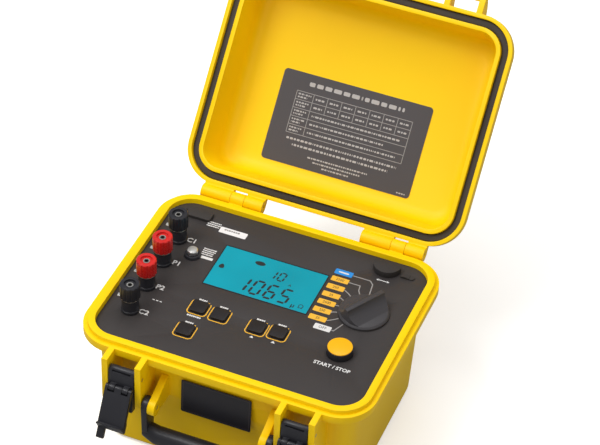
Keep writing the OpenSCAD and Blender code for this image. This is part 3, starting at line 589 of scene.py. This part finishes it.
def label_print(bm, a, b):
    """Short bars in place of words: heading, table cells and notes."""
    rng = random.Random(5)

    def line(x, v, length, h):
        end = x + length
        while x < end - 1.0:
            d = min(rng.uniform(1.6, 5.0) * h / 1.9, end - x)
            prism(bm, round_rect(x + d / 2, lid_y(v), d - 0.5 * h, h, 0.25 * h, 2), a, b)
            x += d
    line(-52, 112.6, 96, 3.8)
    for r in range(ROWS):
        v = (row_v[r] + row_v[r + 1]) / 2
        line(TABLE_X[0] + 1.6, v + 1.4, 13.5, 1.5)
        line(TABLE_X[0] + 1.6, v - 1.4, 10.0, 1.5)
        if r >= 3:
            for i in range(7):
                line(column_x[i] + 2.0, v, 9.5, 1.7)
        else:
            line(COLUMN + 2.5, v, 88 - 14 * (r % 2), 1.7)
    for v, length in ((59.6, 110), (54.4, 96), (46.6, 60), (43.2, 48), (39.8, 28)):
        line(-4.5 - length / 2, v, length, 1.9 if v > 50 else 1.4)
    line(56, 38.2, 9, 1.2)


in_lid("label_lines", label_lines, ink_grey, ROOF - 0.52, ROOF - 0.4)
in_lid("label_print", label_print, ink_label, ROOF - 0.53, ROOF - 0.4)

# Bare plate on the drafted front wall
DRAFT = math.atan(5.2 / 122.5)
upright = Matrix.Rotation(-DRAFT, 4, "X") @ Matrix.Rotation(math.radians(90), 4, "X")
wall_frame = Matrix.Translation((0, -93.0 * MM, 122.5 * MM)) @ upright
piece("front_plate", lambda bm: prism(bm, round_rect(-3.0, -36.0, 65.5, 36.5, 1.6), -0.1, 0.5), plate_dark,
      "case", wall_frame, soft=0.15)
piece("front_plate_line", lambda bm: ring_prism(bm, round_rect(-3.0, -36.0, 62.3, 33.3, 1.2), round_rect(-3.0, -36.0, 61.7, 32.7, 1.0),
                                                0.45, 0.56), label_dark, "case", wall_frame)


# Solder tags under the terminal caps, and straps of the rubber caps
def tags(bm):
    for y in POST_Y:
        prism(bm, round_rect(POST_X - 9.6, y, 4.6, 3.4, 0.6, 3), PANEL + 13.2, PANEL + 14.3)


piece("terminal_tags", tags, silver, "case", soft=0.2)


def strap(bm, x0, x1, y, w, z):
    steps = 10
    top = []
    for i in range(steps + 1):
        t = i / steps
        top.append((x0 + (x1 - x0) * t, z + 0.7 * math.sin(math.pi * t)))
    rows = []
    for side in (-w / 2, w / 2):
        for dz in (0.0, 1.1):
            rows.append([bm.verts.new((x, y + side, h + dz)) for x, h in top])
    low_a, high_a, low_b, high_b = rows
    for p, q in ((low_a, high_a), (high_a, high_b), (high_b, low_b), (low_b, low_a)):
        for i in range(steps):
            bm.faces.new((p[i], p[i + 1], q[i + 1], q[i]))
    for i in (0, steps):
        bm.faces.new((low_a[i], high_a[i], high_b[i], low_b[i]))


piece("strap_data", lambda bm: strap(bm, 98.4, 106.5, 80.6, 4.6, PANEL + 0.3), rubber, "case")
piece("strap_charging", lambda bm: strap(bm, -115.0, -110.4, 82.2, 4.2, PANEL + 0.3), rubber, "case")

# Camera at the photograph's place
camera_data = bpy.data.cameras.new("camera")
camera = bpy.data.objects.new("camera", camera_data)
scene.collection.objects.link(camera)
camera_data.sensor_width = 36
camera_data.lens = 146.395
camera_data.shift_x = -4.44 / 600
camera_data.shift_y = 12.97 / 600
camera_data.clip_end = 100
camera.location = (0.57949, -1.43827, 1.59416)
camera.rotation_euler = [math.radians(a) for a in (48.18908, -1.77704, 22.29284)]
scene.camera = camera

# Floor and light
floor_finish = Finish("floor_white")
ray = floor_finish.tree.nodes.new("ShaderNodeLightPath")
seen = Val(floor_finish, ray.outputs["Is Camera Ray"])
grain = floor_finish.noise(30.0)
pale = floor_finish.mix(grain, (0.9, 0.9, 0.9, 1), (0.93, 0.93, 0.93, 1))
floor_finish.set(color=floor_finish.mix(seen, (0.45, 0.45, 0.45, 1), pale), rough=0.8, specular=0.1,
                 glow=floor_finish.mix(seen, (0, 0, 0, 1), (1, 1, 1, 1)), glow_strength=0.4)
bm = bmesh.new()
bmesh.ops.create_grid(bm, x_segments=2, y_segments=2, size=6)
floor_mesh = bpy.data.meshes.new("floor")
bm.to_mesh(floor_mesh)
bm.free()
floor = bpy.data.objects.new("floor", floor_mesh)
scene.collection.objects.link(floor)
floor_mesh.materials.append(floor_finish.material)
floor.location = (0, 0, -0.0003)

world = bpy.data.worlds.new("studio")
scene.world = world
world.use_nodes = True
tree = world.node_tree
for old in list(tree.nodes):
    tree.nodes.remove(old)
path = tree.nodes.new("ShaderNodeLightPath")
dim = tree.nodes.new("ShaderNodeBackground")
dim.inputs["Color"].default_value = (1, 1, 1, 1)
dim.inputs["Strength"].default_value = 0.42
white = tree.nodes.new("ShaderNodeBackground")
white.inputs["Color"].default_value = (1, 1, 1, 1)
white.inputs["Strength"].default_value = 1.0
choose = tree.nodes.new("ShaderNodeMixShader")
out = tree.nodes.new("ShaderNodeOutputWorld")
tree.links.new(path.outputs["Is Camera Ray"], choose.inputs[0])
tree.links.new(dim.outputs[0], choose.inputs[1])
tree.links.new(white.outputs[0], choose.inputs[2])
tree.links.new(choose.outputs[0], out.inputs["Surface"])


def lamp(name, place, aim, size, watts):
    data = bpy.data.lights.new(name, "AREA")
    data.shape = "RECTANGLE"
    data.size, data.size_y = size
    data.energy = watts
    made = bpy.data.objects.new(name, data)
    scene.collection.objects.link(made)
    made.location = place
    made.rotation_euler = (Vector(aim) - Vector(place)).to_track_quat("-Z", "Y").to_euler()


lamp("key", (-0.9, -0.7, 2.1), (0, 0, 0.13), (1.2, 1.0), 30)
lamp("fill", (1.6, -1.2, 1.2), (0, 0, 0.1), (1.4, 1.0), 4)
lamp("top", (0.1, 0.5, 2.3), (0, 0, 0.15), (1.6, 1.2), 16)

scene.view_settings.view_transform = "Standard"
